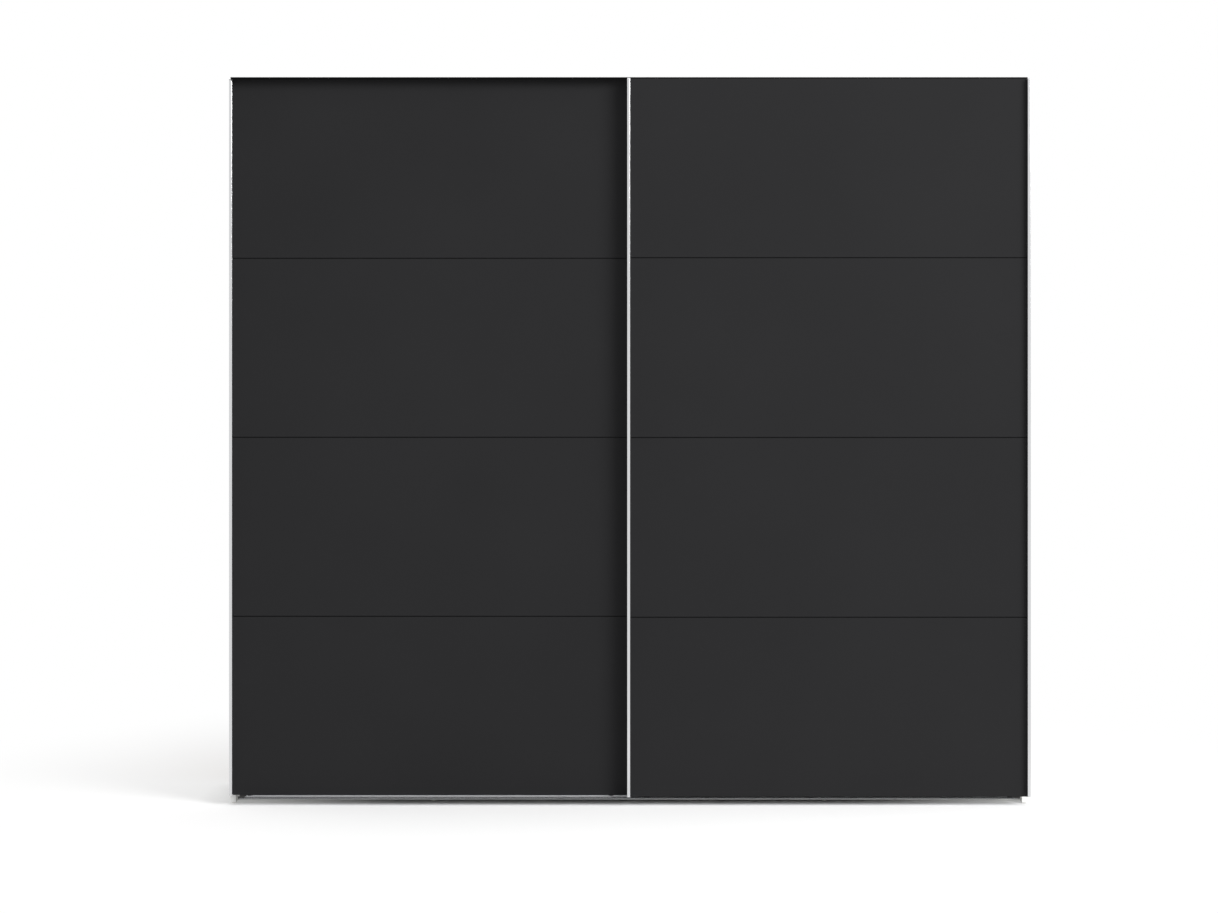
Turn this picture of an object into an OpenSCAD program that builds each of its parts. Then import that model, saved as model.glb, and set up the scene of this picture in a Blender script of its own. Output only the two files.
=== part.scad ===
// Sliding door wardrobe. Two floating doors, each of four boards between upright handle
// profiles, roll past each other in front of a white carcass with two compartments.
// X runs along the width, the front faces -Y and the floor is Z = 0. Sizes are millimetres.

/* [Overall] */
// Width of the carcass, which the closed doors cover
body_w = 2420; // [2000:10:3000]
// Height, floor to top
body_h = 2200; // [1900:10:2700]
// Depth, back to the front of the handles
body_d = 640; // [560:5:800]

/* [Carcass boards] */
// Thickness of the carcass boards
board_t = 16; // [15:1:22]
// Thickness of the hardboard back
back_t = 3; // [2:0.5:5]
// Height of the underside of the bottom board above the floor
bottom_z = 44; // [40:1:80]
// Distance that the front plinth stands back from the carcass front
plinth_setback = 60; // [40:5:120]
// Height of the underside of the hat shelves
shelf_z = 1850; // [1500:10:1880]
// Distance that the hat shelves stand back from the carcass front
shelf_setback = 30; // [10:5:80]
// Height of the gliders under the boards
glide_h = 3; // [2:0.5:8]

/* [Hanging rails] */
// Height of the oval rail tube
rail_h = 30; // [24:1:40]
// Thickness of the oval rail tube, front to back
rail_t = 15; // [12:1:20]
// Wall of the rail tube
rail_wall = 1.5; // [1:0.1:2.5]
// Drop from the shelf underside to the middle of the rail
rail_drop = 60; // [45:5:120]

/* [Doors] */
// Thickness of the door boards
door_t = 16; // [16:0.5:22]
// Width of the groove between two door boards
panel_gap = 3; // [2:0.5:6]
// Overlap of the two closed doors
door_overlap = 12; // [10:1:40]
// Height of the lower edge of the doors above the floor
door_z = 29; // [26:0.5:35]
// Distance from the top of the wardrobe down to the top of the doors
door_top_gap = 4; // [4:0.5:10]
// Air between the carcass and the rear door
door_gap = 8; // [8:0.5:20]
// Air between the rear door's handles and the front door
pass_gap = 8; // [6:0.5:20]

/* [Handle profiles] */
// Width of a handle profile
handle_w = 9.5; // [8:0.5:30]
// Distance that a handle profile stands proud of the door boards
handle_proud = 20; // [8:1:40]
// Wall of the handle profile
handle_wall = 1.4; // [1:0.1:2]
// Thickness of the plastic caps on the ends of the profiles
cap_t = 3; // [2:0.5:5]

/* [Running gear] */
// Radius of the wheel tread
wheel_r = 16; // [13:0.5:18]
// Width of a wheel
wheel_w = 6; // [5:0.5:6]
// Height of the wheel flanges above the tread
flange_h = 1.7; // [1:0.1:1.8]
// Radius of the wheel axles
axle_r = 2.5; // [2:0.1:3]
// Distance from a door's edge to its wheels
wheel_inset = 60; // [55:1:200]
// Wall of the aluminium bottom track
track_t = 2; // [1.5:0.1:3]
// Thickness of the web of the top track
web_t = 3; // [2:0.5:3]
// Thickness of the two fins under the top track
fin_t = 2; // [1.5:0.1:2.5]
// Distance that the bottom track ends short of the carcass, each side
bottom_track_inset = 30; // [20:1:60]
// Distance that the top track ends short of the carcass, each side
top_track_inset = 7; // [0:0.5:40]

/* [Hidden] */
$fn = 48;

// Colours of the parts
white_board = "#f1f1ee";
black_board = "#2b2b2d";
aluminium = "#c9cbcd";
steel = "#a7a9ab";
black_plastic = "#1b1b1c";
grey_plastic = "#b9babb";
white_plastic = "#e9e9e4";
beech = "#c99a63";

// Gaps: running, side play of a wheel, between fixed neighbours and past a blind hole
run_clear = 0.3;
wheel_play = 0.6;
fit_clear = 0.2;
axle_clear = 0.05;
hole_spare = 1;

// Depth stack in front of the carcass, measured forward from its front edges
handle_d = door_t + handle_proud;
door_pitch = handle_d + pass_gap;
front_stack = door_gap + door_pitch + handle_d;
carcass_front = -body_d/2 + front_stack;

// Back: the joining strips' flange is the rearmost surface
strip_flange = 0.8;
back_out = body_d/2 - strip_flange;
back_in = back_out - back_t;

// Carcass levels and widths
inner_x = body_w/2 - board_t;
comp_w = inner_x - board_t/2;
top_z = body_h - board_t;
floor_z = bottom_z + board_t;
plinth_y = carcass_front + plinth_setback;
rear_plinth_y = back_in - 20 - board_t;

// Doors, of four boards each
panel_count = 4;
door_w = (body_w + door_overlap)/2;
door_h = body_h - door_top_gap - door_z;
panel_w = door_w - 2*handle_w;
panel_h = (door_h - (panel_count - 1)*panel_gap)/panel_count;
tongue_t = 3;
tongue_l = 8;
handle_round = 2;

// Guide channel in the top edge of a door, and the fins that run in it
channel_w = 8;
channel_d = 6;
channel_wall = 1.5;
channel_floor = body_h - door_top_gap - channel_d + channel_wall;
fin_bottom = channel_floor + 1;
shoe_l = 40;
shoe_inset = 40;

// Bottom track: the wheels' treads run just over its ribs
rib_w = 2;
rib_h = 2.4;
tread_z = door_z - 2;
rib_top = tread_z - run_clear;
track_top = rib_top - rib_h;
track_base = track_top - track_t;
track_front = door_gap + door_pitch + door_t - 2;
beam_d = 22;
beam_h = 8;
wheel_z = tread_z + wheel_r;

// Roller housings, let into the back of the bottom board of each door
skin_t = 2.8;
housing_half = 25;
housing_top = wheel_z + wheel_r + flange_h + 14;
housing_bottom = door_z + 2;
plate_half = 34;
plate_t = 1.5;
roller_screw_l = 12;

// Track stops, which the wheels meet at the ends of their travel
stop_top = door_z - 0.5;
stop_reach = sqrt(pow(wheel_r + flange_h, 2) - pow(wheel_z - stop_top, 2)) + run_clear;
stop_w = 12;

// Fittings
cam_r = 7.5;
cam_d = 12.5;
cam_back = 24;
bolt_r = 3;
bolt_in = 11;
dowel_r = 4;
dowel_l = 30;
dowel_in = 12;
pin_r = 2.5;
pin_in = 7.4;
row_pitch = 32;
row_side = 6;
row_inset = 50;
screw_r = 1.75;
screw_head_r = 3.5;
screw_head_h = 1.5;
fitting_screw_l = 10;
track_screw_l = 26;
track_screw_head = 1.6;
nail_r = 0.8;
nail_l = 18;
nail_head_r = 3;
glide_r = 7;
glide_nail_l = 12;
bracket_w = 30;
bracket_leg = 40;
bracket_t = 2;
anchor_r = 3;
anchor_x = inner_x - 100;
anchor_z = top_z - 24;
support_t = 3;
support_h = 62;
support_cup = 12;
rail_z = shelf_z - rail_drop;
rail_y = (carcass_front + back_in)/2 - 10;

// Places along the joints
joint_ys = [carcass_front + 60, (carcass_front + back_in)/2, back_in - 60];
dowel_ys = [carcass_front + 110, back_in - 110];
row_ys = [carcass_front + shelf_setback + row_inset, back_in - row_inset];
glide_ys = [carcass_front + 20, (carcass_front + back_in)/2, back_in - 30];
plinth_xs = [-inner_x + 150, -inner_x/3, inner_x/3, inner_x - 150];
track_screw_xs = [for (i = [-4:4]) i*(inner_x - 90)/4];
nail_zs = [for (i = [0:6]) bottom_z + board_t/2 + i*(top_z - bottom_z)/6];
nail_xs = [for (i = [1:3]) i*comp_w/4 + board_t/2];
partition_nail_zs = [for (i = [0:6]) floor_z + 30 + i*(top_z - floor_z - 60)/6];
seam_x = board_t/2 + comp_w/2;

function y_at(f) = carcass_front - f;
function door_x(side) = side < 0 ? -body_w/2 : body_w/2 - door_w;
function door_f(side) = side < 0 ? door_gap : door_gap + door_pitch;
function panel_z(i) = door_z + i*(panel_h + panel_gap);

// A block between two corners
module block(low, high) translate(low) cube(high - low);

// A cylinder from a point along +X, +Y or +Z
module along_x(from, r, l) translate(from) rotate([0, 90, 0]) cylinder(r = r, h = l);
module along_y(from, r, l) translate(from) rotate([-90, 0, 0]) cylinder(r = r, h = l);
module along_z(from, r, l) translate(from) cylinder(r = r, h = l);

// A flat-sided oval, lying along Y of its sketch
module oval(w, h) {
  square([w, h - w], center = true);
  for (s = [-1, 1]) translate([0, s*(h - w)/2]) circle(d = w);
}

/* Fittings: every hole below is cut from the same places as the piece that fills it. */

// Cam locks in the top and bottom boards and in the partition, crossed by their bolts
module cam_locks() {
  color(steel) difference() {
    cam_holes();
    cam_bolts();
  }
}

module cam_holes() {
  for (s = [-1, 1], y = joint_ys, z = [bottom_z, top_z])
    along_z([s*(inner_x - cam_back), y, z], cam_r, cam_d);
  for (y = joint_ys, z = [floor_z + cam_back, top_z - cam_back])
    along_x([-board_t/2, y, z], cam_r, cam_d);
}

// Bolts from the sides into those cams, and from the top and bottom boards into the partition's
module cam_bolts() {
  color(steel) {
    for (y = joint_ys, z = [bottom_z, top_z]) {
      along_x([-inner_x - bolt_in, y, z + board_t/2], bolt_r, cam_back + bolt_in);
      along_x([inner_x - cam_back, y, z + board_t/2], bolt_r, cam_back + bolt_in);
    }
    for (y = joint_ys) {
      along_z([0, y, floor_z - bolt_in], bolt_r, cam_back + bolt_in);
      along_z([0, y, top_z - cam_back], bolt_r, cam_back + bolt_in);
    }
  }
}

// The bolts pass loosely through the edge of the board that holds the cam
module cam_bolt_clearance() {
  for (y = joint_ys, z = [bottom_z, top_z]) {
    along_x([-inner_x, y, z + board_t/2], bolt_r + fit_clear, cam_back);
    along_x([inner_x - cam_back, y, z + board_t/2], bolt_r + fit_clear, cam_back);
  }
  for (y = joint_ys) {
    along_z([0, y, floor_z], bolt_r + fit_clear, cam_back);
    along_z([0, y, top_z - cam_back], bolt_r + fit_clear, cam_back);
  }
}

// Beech dowels beside the cams and in the plinth's corners
module dowels(spare = 0) {
  color(beech) {
    for (y = dowel_ys) {
      for (z = [bottom_z, top_z]) {
        along_x([-inner_x - dowel_in - spare, y, z + board_t/2], dowel_r, dowel_l + 2*spare);
        along_x([inner_x + dowel_in - dowel_l - spare, y, z + board_t/2], dowel_r, dowel_l + 2*spare);
      }
      along_z([0, y, floor_z - dowel_in - spare], dowel_r, dowel_l + 2*spare);
      along_z([0, y, top_z + dowel_in - dowel_l - spare], dowel_r, dowel_l + 2*spare);
    }
    for (y = [plinth_y, rear_plinth_y]) {
      for (x = plinth_xs)
        along_z([x, y + board_t/2, bottom_z + dowel_in - dowel_l - spare], dowel_r, dowel_l + 2*spare);
      along_x([-inner_x - dowel_in - spare, y + board_t/2, bottom_z/2], dowel_r, dowel_l + 2*spare);
      along_x([inner_x + dowel_in - dowel_l - spare, y + board_t/2, bottom_z/2], dowel_r, dowel_l + 2*spare);
    }
    along_y([0, plinth_y + board_t - dowel_in - spare, bottom_z/2], dowel_r, dowel_l + 2*spare);
    along_y([0, rear_plinth_y + dowel_in - dowel_l - spare, bottom_z/2], dowel_r, dowel_l + 2*spare);
  }
}

// Holes of all those fittings
module joint_bores() {
  cam_holes();
  cam_bolts();
  cam_bolt_clearance();
  dowels(hole_spare);
}

// Shelf pins, two at each end of each shelf
module shelf_pins() {
  color(steel) for (s = [-1, 1], y = row_ys) {
    pin_at(s*inner_x, y, s);
    pin_at(s*board_t/2, y, -s);
  }
}

// One pin in the face at x of a board that lies towards s
module pin_at(x, y, s) {
  z = shelf_z - pin_r;
  along_x([min(x + s*pin_in, x - s*8), y, z], pin_r, pin_in + 8);
  along_x([min(x, x - s*1.5), y, z - 2], pin_r + 1.5, 1.5);
}

// Rows of holes that let the shelves be moved
module row_bores() {
  for (s = [-1, 1], y = row_ys, i = [-row_side:row_side]) {
    z = shelf_z - pin_r + i*row_pitch;
    along_x([min(s*inner_x, s*(inner_x + pin_in)), y, z], pin_r, pin_in);
    along_x([min(s*board_t/2, s*(board_t/2 - pin_in)), y, z], pin_r, pin_in);
  }
}

// A countersunk screw along +Z of its own frame, head at the origin
module screw(l) {
  cylinder(r1 = screw_head_r, r2 = screw_r, h = screw_head_h);
  cylinder(r = screw_r, h = l);
}

// Screws of the rail supports and the wall brackets
module fitting_screws() {
  color(steel) {
    for (s = [-1, 1], dz = [-1, 1]*(support_h/2 - 8)) {
      translate([s*(inner_x - support_t), rail_y, rail_z + dz])
        rotate([0, s*90, 0]) screw(fitting_screw_l);
      translate([s*(board_t/2 + support_t), rail_y, rail_z + dz])
        rotate([0, -s*90, 0]) screw(fitting_screw_l);
    }
    for (s = [-1, 1], dx = [-8, 8])
      translate([s*anchor_x + dx, back_in - bracket_leg/2, top_z - bracket_t]) screw(fitting_screw_l);
  }
}

// Pan-head screws that hold both tracks to the carcass
module track_screws() {
  color(steel) for (x = track_screw_xs, z = [bottom_z + board_t/2, top_z + board_t/2 - 1]) {
    along_y([x, y_at(track_t), z], screw_r, track_screw_l);
    along_y([x, y_at(track_t + track_screw_head), z], screw_head_r, track_screw_head);
  }
}

// Nails through the back into the boards behind it
module back_panel_nails() {
  color(steel) {
    for (x = [-1, 1]*(body_w/2 - board_t/2), z = nail_zs) nail_at(x, z);
    for (x = [-1, 1]*(nail_head_r + 1.5), z = partition_nail_zs) nail_at(x, z);
    for (s = [-1, 1], x = nail_xs, z = [bottom_z + board_t/2, top_z + board_t/2]) nail_at(s*x, z);
  }
}

module nail_at(x, z) {
  along_y([x, back_out, z], nail_head_r, strip_flange);
  along_y([x, back_out - nail_l, z], nail_r, nail_l);
}

// Gliders nailed under the sides, the middle plinth and the long plinths
module floor_glides() {
  color(white_plastic) {
    for (s = [-1, 1], y = glide_ys) glide_at(s*(body_w/2 - board_t/2), y);
    for (s = [-1, 1], y = [plinth_y, rear_plinth_y]) glide_at(s*inner_x/2, y + board_t/2);
    for (y = [plinth_y + 60, rear_plinth_y - 40]) glide_at(0, y);
  }
}

module glide_at(x, y) {
  along_z([x, y, 0], glide_r, glide_h);
  along_z([x, y, glide_h], 1.2, glide_nail_l);
}

/* Carcass boards */

// A side wall: its outer face at s times half the width
module side_wall(s) {
  color(white_board) difference() {
    block([min(s*inner_x, s*body_w/2), carcass_front, glide_h],
      [max(s*inner_x, s*body_w/2), back_in, body_h]);
    joint_bores();
    row_bores();
    fitting_screws();
    back_panel_nails();
    floor_glides();
  }
}

module left_side_panel() side_wall(-1);
module right_side_panel() side_wall(1);

module centre_partition() {
  color(white_board) difference() {
    block([-board_t/2, carcass_front, floor_z], [board_t/2, back_in, top_z]);
    joint_bores();
    row_bores();
    fitting_screws();
    back_panel_nails();
  }
}

// A board that spans the carcass between its sides, with its underside at z
module spanning_board(z) {
  color(white_board) difference() {
    block([-inner_x, carcass_front, z], [inner_x, back_in, z + board_t]);
    joint_bores();
    fitting_screws();
    track_screws();
    back_panel_nails();
  }
}

module top_panel() spanning_board(top_z);
module bottom_panel() spanning_board(bottom_z);

// A long plinth board with its front face at y
module plinth_board(y) {
  color(white_board) difference() {
    block([-inner_x, y, glide_h], [inner_x, y + board_t, bottom_z]);
    dowels(hole_spare);
    floor_glides();
  }
}

module front_plinth() plinth_board(plinth_y);
module rear_plinth() plinth_board(rear_plinth_y);

module middle_plinth() {
  color(white_board) difference() {
    block([-board_t/2, plinth_y + board_t, glide_h], [board_t/2, rear_plinth_y, bottom_z]);
    dowels(hole_spare);
    floor_glides();
  }
}

module hat_shelf(s) {
  near = board_t/2 + fit_clear;
  far = inner_x - fit_clear;
  color(white_board) block([min(s*near, s*far), carcass_front + shelf_setback, shelf_z],
    [max(s*near, s*far), back_in - strip_flange - fit_clear, shelf_z + board_t]);
}

module left_hat_shelf() hat_shelf(-1);
module right_hat_shelf() hat_shelf(1);

// A sheet of the back between two upright edges
module back_sheet(x0, x1) {
  color(white_board) difference() {
    block([x0, back_in, bottom_z + 2], [x1, back_out, body_h - 2]);
    back_panel_nails();
    anchor_bores();
  }
}

seam_half = 0.6;
module outer_left_back_panel() back_sheet(-body_w/2 + 2, -seam_x - seam_half);
module inner_left_back_panel() back_sheet(-seam_x + seam_half, -0.2);
module inner_right_back_panel() back_sheet(0.2, seam_x - seam_half);
module outer_right_back_panel() back_sheet(seam_x + seam_half, body_w/2 - 2);

// H-shaped plastic strips that join the sheets of the back in the middle of each compartment
module back_joining_strips() {
  strip_w = 16;
  color(white_plastic) for (s = [-1, 1]) translate([s*seam_x, 0, 0]) {
    block([-seam_half, back_in, floor_z + 1], [seam_half, back_out, top_z - 1]);
    for (y = [back_in - strip_flange, back_out])
      block([-strip_w/2, y, floor_z + 1], [strip_w/2, y + strip_flange, top_z - 1]);
  }
}

/* Rails and brackets */

// An oval tube between the end supports of one compartment
module hanging_rail(s) {
  l = comp_w - 2*support_t - 2*fit_clear;
  color(steel) translate([s*seam_x, rail_y, rail_z]) rotate([90, 0, 90])
    linear_extrude(l, center = true) difference() {
      oval(rail_t, rail_h);
      oval(rail_t - 2*rail_wall, rail_h - 2*rail_wall);
    }
}

module left_hanging_rail() hanging_rail(-1);
module right_hanging_rail() hanging_rail(1);

// Cups screwed to the boards that hold the rails' ends
module rail_end_supports() {
  color(steel) difference() {
    for (s = [-1, 1]) {
      support_at(s*inner_x, -s);
      support_at(s*board_t/2, s);
    }
    fitting_screws();
  }
}

// One cup on the face at x, opening towards s
module support_at(x, s) translate([x, rail_y, rail_z]) rotate([90, 0, 90]) {
  z0 = s > 0 ? 0 : -support_t;
  cup0 = s > 0 ? support_t : -support_t - support_cup;
  translate([0, 0, z0]) linear_extrude(support_t) oval(rail_t + 5, support_h);
  translate([0, 0, cup0]) linear_extrude(support_cup) difference() {
    oval(rail_t + 4, rail_h + 4);
    oval(rail_t + 2*fit_clear, rail_h + 2*fit_clear);
  }
}

// Angles under the top board that tie the wardrobe to the wall against tipping
module wall_brackets() {
  color(steel) difference() {
    for (s = [-1, 1]) translate([s*anchor_x, 0, 0]) {
      block([-bracket_w/2, back_in - bracket_leg, top_z - bracket_t], [bracket_w/2, back_in, top_z]);
      block([-bracket_w/2, back_in - bracket_t, top_z - bracket_leg], [bracket_w/2, back_in, top_z]);
    }
    fitting_screws();
    anchor_bores();
  }
}

module anchor_bores() {
  for (s = [-1, 1])
    along_y([s*anchor_x, back_in - bracket_t - 1, anchor_z], anchor_r, back_t + bracket_t + 2);
}

/* Tracks */

// Black top track: a web over both doors with two fins that run in the doors' top edges
module top_track() {
  half = body_w/2 - top_track_inset;
  color(black_plastic) difference() {
    union() {
      block([-half, y_at(track_front), body_h - web_t], [half, y_at(0), body_h]);
      block([-half, y_at(track_t), top_z + 1], [half, y_at(0), body_h - web_t]);
      for (side = [-1, 1])
        block([-half, y_at(door_f(side) + door_t/2 + fin_t/2), fin_bottom],
          [half, y_at(door_f(side) + door_t/2 - fin_t/2), body_h - web_t]);
    }
    track_screws();
  }
}

// Aluminium bottom track: a hollow beam and flange at the back, a flat base with two ribs
module bottom_track() {
  half = body_w/2 - bottom_track_inset;
  color(aluminium) difference() {
    union() {
      block([-half, y_at(track_front), track_base], [half, y_at(0), track_top]);
      block([-half, y_at(beam_d), track_top - beam_h], [half, y_at(0), track_base]);
      block([-half, y_at(track_t), track_base], [half, y_at(0), floor_z - 2]);
      for (side = [-1, 1])
        block([-half, y_at(door_f(side) + door_t/2 + rib_w/2), track_top],
          [half, y_at(door_f(side) + door_t/2 - rib_w/2), rib_top]);
    }
    block([-half - 1, y_at(beam_d - track_t), track_top - beam_h + track_t],
      [half + 1, y_at(track_t), track_base]);
    track_screws();
  }
}

// Rubber stops over the ends of the two ribs
module track_stops() {
  half = body_w/2 - bottom_track_inset;
  inner = body_w/2 - wheel_inset + stop_reach;
  color(black_plastic) for (side = [-1, 1], s = [-1, 1]) difference() {
    block([min(s*half, s*inner), y_at(door_f(side) + door_t/2 + stop_w/2), track_top],
      [max(s*half, s*inner), y_at(door_f(side) + door_t/2 - stop_w/2), stop_top]);
    block([-half - 1, y_at(door_f(side) + door_t/2 + rib_w/2), track_top - 1],
      [half + 1, y_at(door_f(side) + door_t/2 - rib_w/2), rib_top]);
  }
}

/* Doors: side -1 is the left, rear door and side 1 the right, front door. Each is drawn from
   its own lower left corner, with its back at Y = 0 and its face at Y = -door_t. */

module place_door(side) translate([door_x(side), y_at(door_f(side)), 0]) children();

// The slots that let a fin of the top track through a door's upright edges
module fin_slot() {
  block([-1, -door_t/2 - channel_w/2 + channel_wall, channel_floor - 2],
    [door_w + 1, -door_t/2 + channel_w/2 - channel_wall, body_h]);
}

// Four screws in the back plate of each roller housing
module roller_screws(side) {
  color(steel) place_door(side)
    for (x = [wheel_inset, door_w - wheel_inset], dx = [-1, 1]*(plate_half - 5))
      for (z = [housing_bottom + 8, housing_top - 6])
        translate([x + dx, plate_t, z]) rotate([90, 0, 0]) screw(roller_screw_l);
}

module left_door_roller_screws() roller_screws(-1);
module right_door_roller_screws() roller_screws(1);

// Board number i of a door, counted from the floor
module door_board(side, i) {
  z = panel_z(i);
  mid = -door_t/2;
  color(black_board) difference() {
    place_door(side) difference() {
      block([handle_w, -door_t, z], [handle_w + panel_w, 0, z + panel_h]);
      // Grooves for the handle profiles' tongues
      for (x = [handle_w - 1, handle_w + panel_w - tongue_l - fit_clear])
        block([x, mid - tongue_t/2, z - 1],
          [x + tongue_l + fit_clear + 1, mid + tongue_t/2, z + panel_h + 1]);
      // Grooves for the joining strips
      if (i > 0) block([0, mid - tongue_t/2, z - 1], [door_w, mid + tongue_t/2, z + tongue_l]);
      if (i < panel_count - 1)
        block([0, mid - tongue_t/2, z + panel_h - tongue_l], [door_w, mid + tongue_t/2, z + panel_h + 1]);
      // Groove for the guide channel
      if (i == panel_count - 1)
        block([0, mid - channel_w/2, z + panel_h - channel_d],
          [door_w, mid + channel_w/2, z + panel_h + 1]);
      // Pockets for the rollers
      if (i == 0) for (x = [wheel_inset, door_w - wheel_inset])
        block([x - housing_half, skin_t - door_t, z - 1], [x + housing_half, 1, housing_top]);
    }
    if (i == 0) roller_screws(side);
  }
}

module left_door_bottom_panel() door_board(-1, 0);
module left_door_lower_panel() door_board(-1, 1);
module left_door_upper_panel() door_board(-1, 2);
module left_door_top_panel() door_board(-1, 3);
module right_door_bottom_panel() door_board(1, 0);
module right_door_lower_panel() door_board(1, 1);
module right_door_upper_panel() door_board(1, 2);
module right_door_top_panel() door_board(1, 3);

// Strips of cross section that hold two boards together and fill the back of their groove
module joining_strips(side) {
  recess = 4;
  mid = -door_t/2;
  color(black_plastic) place_door(side) for (i = [1:panel_count - 1]) difference() {
    union() {
      block([handle_w, recess - door_t, panel_z(i) - panel_gap], [handle_w + panel_w, -2, panel_z(i)]);
      block([handle_w + tongue_l + fit_clear, mid - tongue_t/2, panel_z(i) - panel_gap - tongue_l],
        [handle_w + panel_w - tongue_l - fit_clear, mid + tongue_t/2, panel_z(i) + tongue_l]);
    }
    for (x = [handle_w - 1, handle_w + panel_w - tongue_l - fit_clear])
      block([x, mid - tongue_t/2, panel_z(i) - panel_gap - 1],
        [x + tongue_l + fit_clear + 1, mid + tongue_t/2, panel_z(i) + 1]);
  }
}

module left_door_joining_strips() joining_strips(-1);
module right_door_joining_strips() joining_strips(1);

// Outline of a handle profile, front corners rounded, front at -Y
module handle_outline() {
  translate([0, handle_round - handle_d]) square([handle_w, handle_d - handle_round]);
  translate([handle_round, -handle_d]) square([handle_w - 2*handle_round, handle_round]);
  for (x = [handle_round, handle_w - handle_round])
    translate([x, handle_round - handle_d]) circle(handle_round);
}

// A handle profile: a box with a tongue that is glued in the boards' edges
module handle_profile(side, end) {
  x = end < 0 ? 0 : door_w - handle_w;
  tongue_x = end < 0 ? handle_w - handle_wall : -tongue_l;
  color(aluminium) place_door(side) difference() {
    translate([x, 0, door_z + cap_t]) linear_extrude(door_h - 2*cap_t) {
      difference() {
        handle_outline();
        translate([handle_wall, handle_wall - handle_d])
          square([handle_w - 2*handle_wall, handle_d - 2*handle_wall]);
      }
      translate([tongue_x, -door_t/2 - tongue_t/2]) square([tongue_l + handle_wall, tongue_t]);
    }
    fin_slot();
    block([handle_w, -door_t/2 - channel_w/2, body_h - door_top_gap - channel_d],
      [handle_w + panel_w, -door_t/2 + channel_w/2, body_h]);
  }
}

module left_door_left_handle() handle_profile(-1, -1);
module left_door_right_handle() handle_profile(-1, 1);
module right_door_left_handle() handle_profile(1, -1);
module right_door_right_handle() handle_profile(1, 1);

// Plastic caps plugged into the four ends of a door's handle profiles
module end_caps(side) {
  plug = handle_wall + fit_clear;
  color(grey_plastic) place_door(side) difference() {
    for (x = [0, door_w - handle_w]) translate([x, 0, 0]) {
      for (z = [door_z, door_z + door_h - cap_t])
        translate([0, 0, z]) linear_extrude(cap_t) handle_outline();
      block([plug, plug - handle_d, door_z + cap_t], [handle_w - plug, -plug, door_z + cap_t + 10]);
      block([plug, plug - handle_d, door_z + door_h - cap_t - 20],
        [handle_w - plug, -plug, door_z + door_h - cap_t]);
    }
    fin_slot();
  }
}

module left_door_end_caps() end_caps(-1);
module right_door_end_caps() end_caps(1);

// U-shaped liner in the top edge of a door
module guide_channel(side) {
  mid = -door_t/2;
  top = door_z + door_h;
  color(black_plastic) place_door(side) difference() {
    block([handle_w, mid - channel_w/2, top - channel_d], [handle_w + panel_w, mid + channel_w/2, top]);
    block([0, mid - channel_w/2 + channel_wall, channel_floor],
      [door_w, mid + channel_w/2 - channel_wall, top + 1]);
  }
}

module left_door_guide_channel() guide_channel(-1);
module right_door_guide_channel() guide_channel(1);

// Shoes in the liner that slide along the fin without touching it hard
module guide_shoes(side) {
  mid = -door_t/2;
  half = channel_w/2 - channel_wall;
  color(white_plastic) place_door(side)
    for (x = [shoe_inset, door_w - shoe_inset - shoe_l]) difference() {
      block([x, mid - half, channel_floor], [x + shoe_l, mid + half, door_z + door_h]);
      block([x - 1, mid - fin_t/2 - run_clear, channel_floor + 0.5],
        [x + shoe_l + 1, mid + fin_t/2 + run_clear, door_z + door_h + 1]);
    }
}

module left_door_guide_shoes() guide_shoes(-1);
module right_door_guide_shoes() guide_shoes(1);

// Housings that carry the wheels inside the thickness of the door
module roller_housings(side) {
  mid = -door_t/2;
  cavity = wheel_w/2 + wheel_play;
  room = wheel_r + flange_h + 2;
  color(steel) difference() {
    place_door(side) for (x = [wheel_inset, door_w - wheel_inset]) difference() {
      union() {
        block([x - housing_half, skin_t - door_t, housing_bottom], [x + housing_half, 0, housing_top]);
        block([x - plate_half, 0, housing_bottom], [x + plate_half, plate_t, housing_top]);
      }
      block([x - room, mid - cavity, housing_bottom - 1], [x + room, mid + cavity, wheel_z + room]);
      along_y([x, -door_t, wheel_z], axle_r, door_t + 2);
    }
    roller_screws(side);
  }
}

module left_door_roller_housings() roller_housings(-1);
module right_door_roller_housings() roller_housings(1);

// Steel pins that the wheels turn on
module axles(side) {
  color(steel) place_door(side) for (x = [wheel_inset, door_w - wheel_inset])
    along_y([x, skin_t - door_t, wheel_z], axle_r, door_t - skin_t + plate_t);
}

module left_door_axles() axles(-1);
module right_door_axles() axles(1);

// A wheel with a grooved tread that rides on a rib of the bottom track
module wheel(side, x) {
  tread = rib_w/2 + 0.6;
  color(black_plastic) place_door(side)
    translate([x, -door_t/2, wheel_z]) rotate([90, 0, 0]) rotate_extrude()
    polygon([
      [axle_r + axle_clear, -wheel_w/2], [wheel_r + flange_h - 0.4, -wheel_w/2],
      [wheel_r + flange_h, -wheel_w/2 + 0.6], [wheel_r + flange_h, -tread - 0.5], [wheel_r, -tread],
      [wheel_r, tread], [wheel_r + flange_h, tread + 0.5], [wheel_r + flange_h, wheel_w/2 - 0.6],
      [wheel_r + flange_h - 0.4, wheel_w/2], [axle_r + axle_clear, wheel_w/2],
    ]);
}

module left_door_left_wheel() wheel(-1, wheel_inset);
module left_door_right_wheel() wheel(-1, door_w - wheel_inset);
module right_door_left_wheel() wheel(1, wheel_inset);
module right_door_right_wheel() wheel(1, door_w - wheel_inset);

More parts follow.
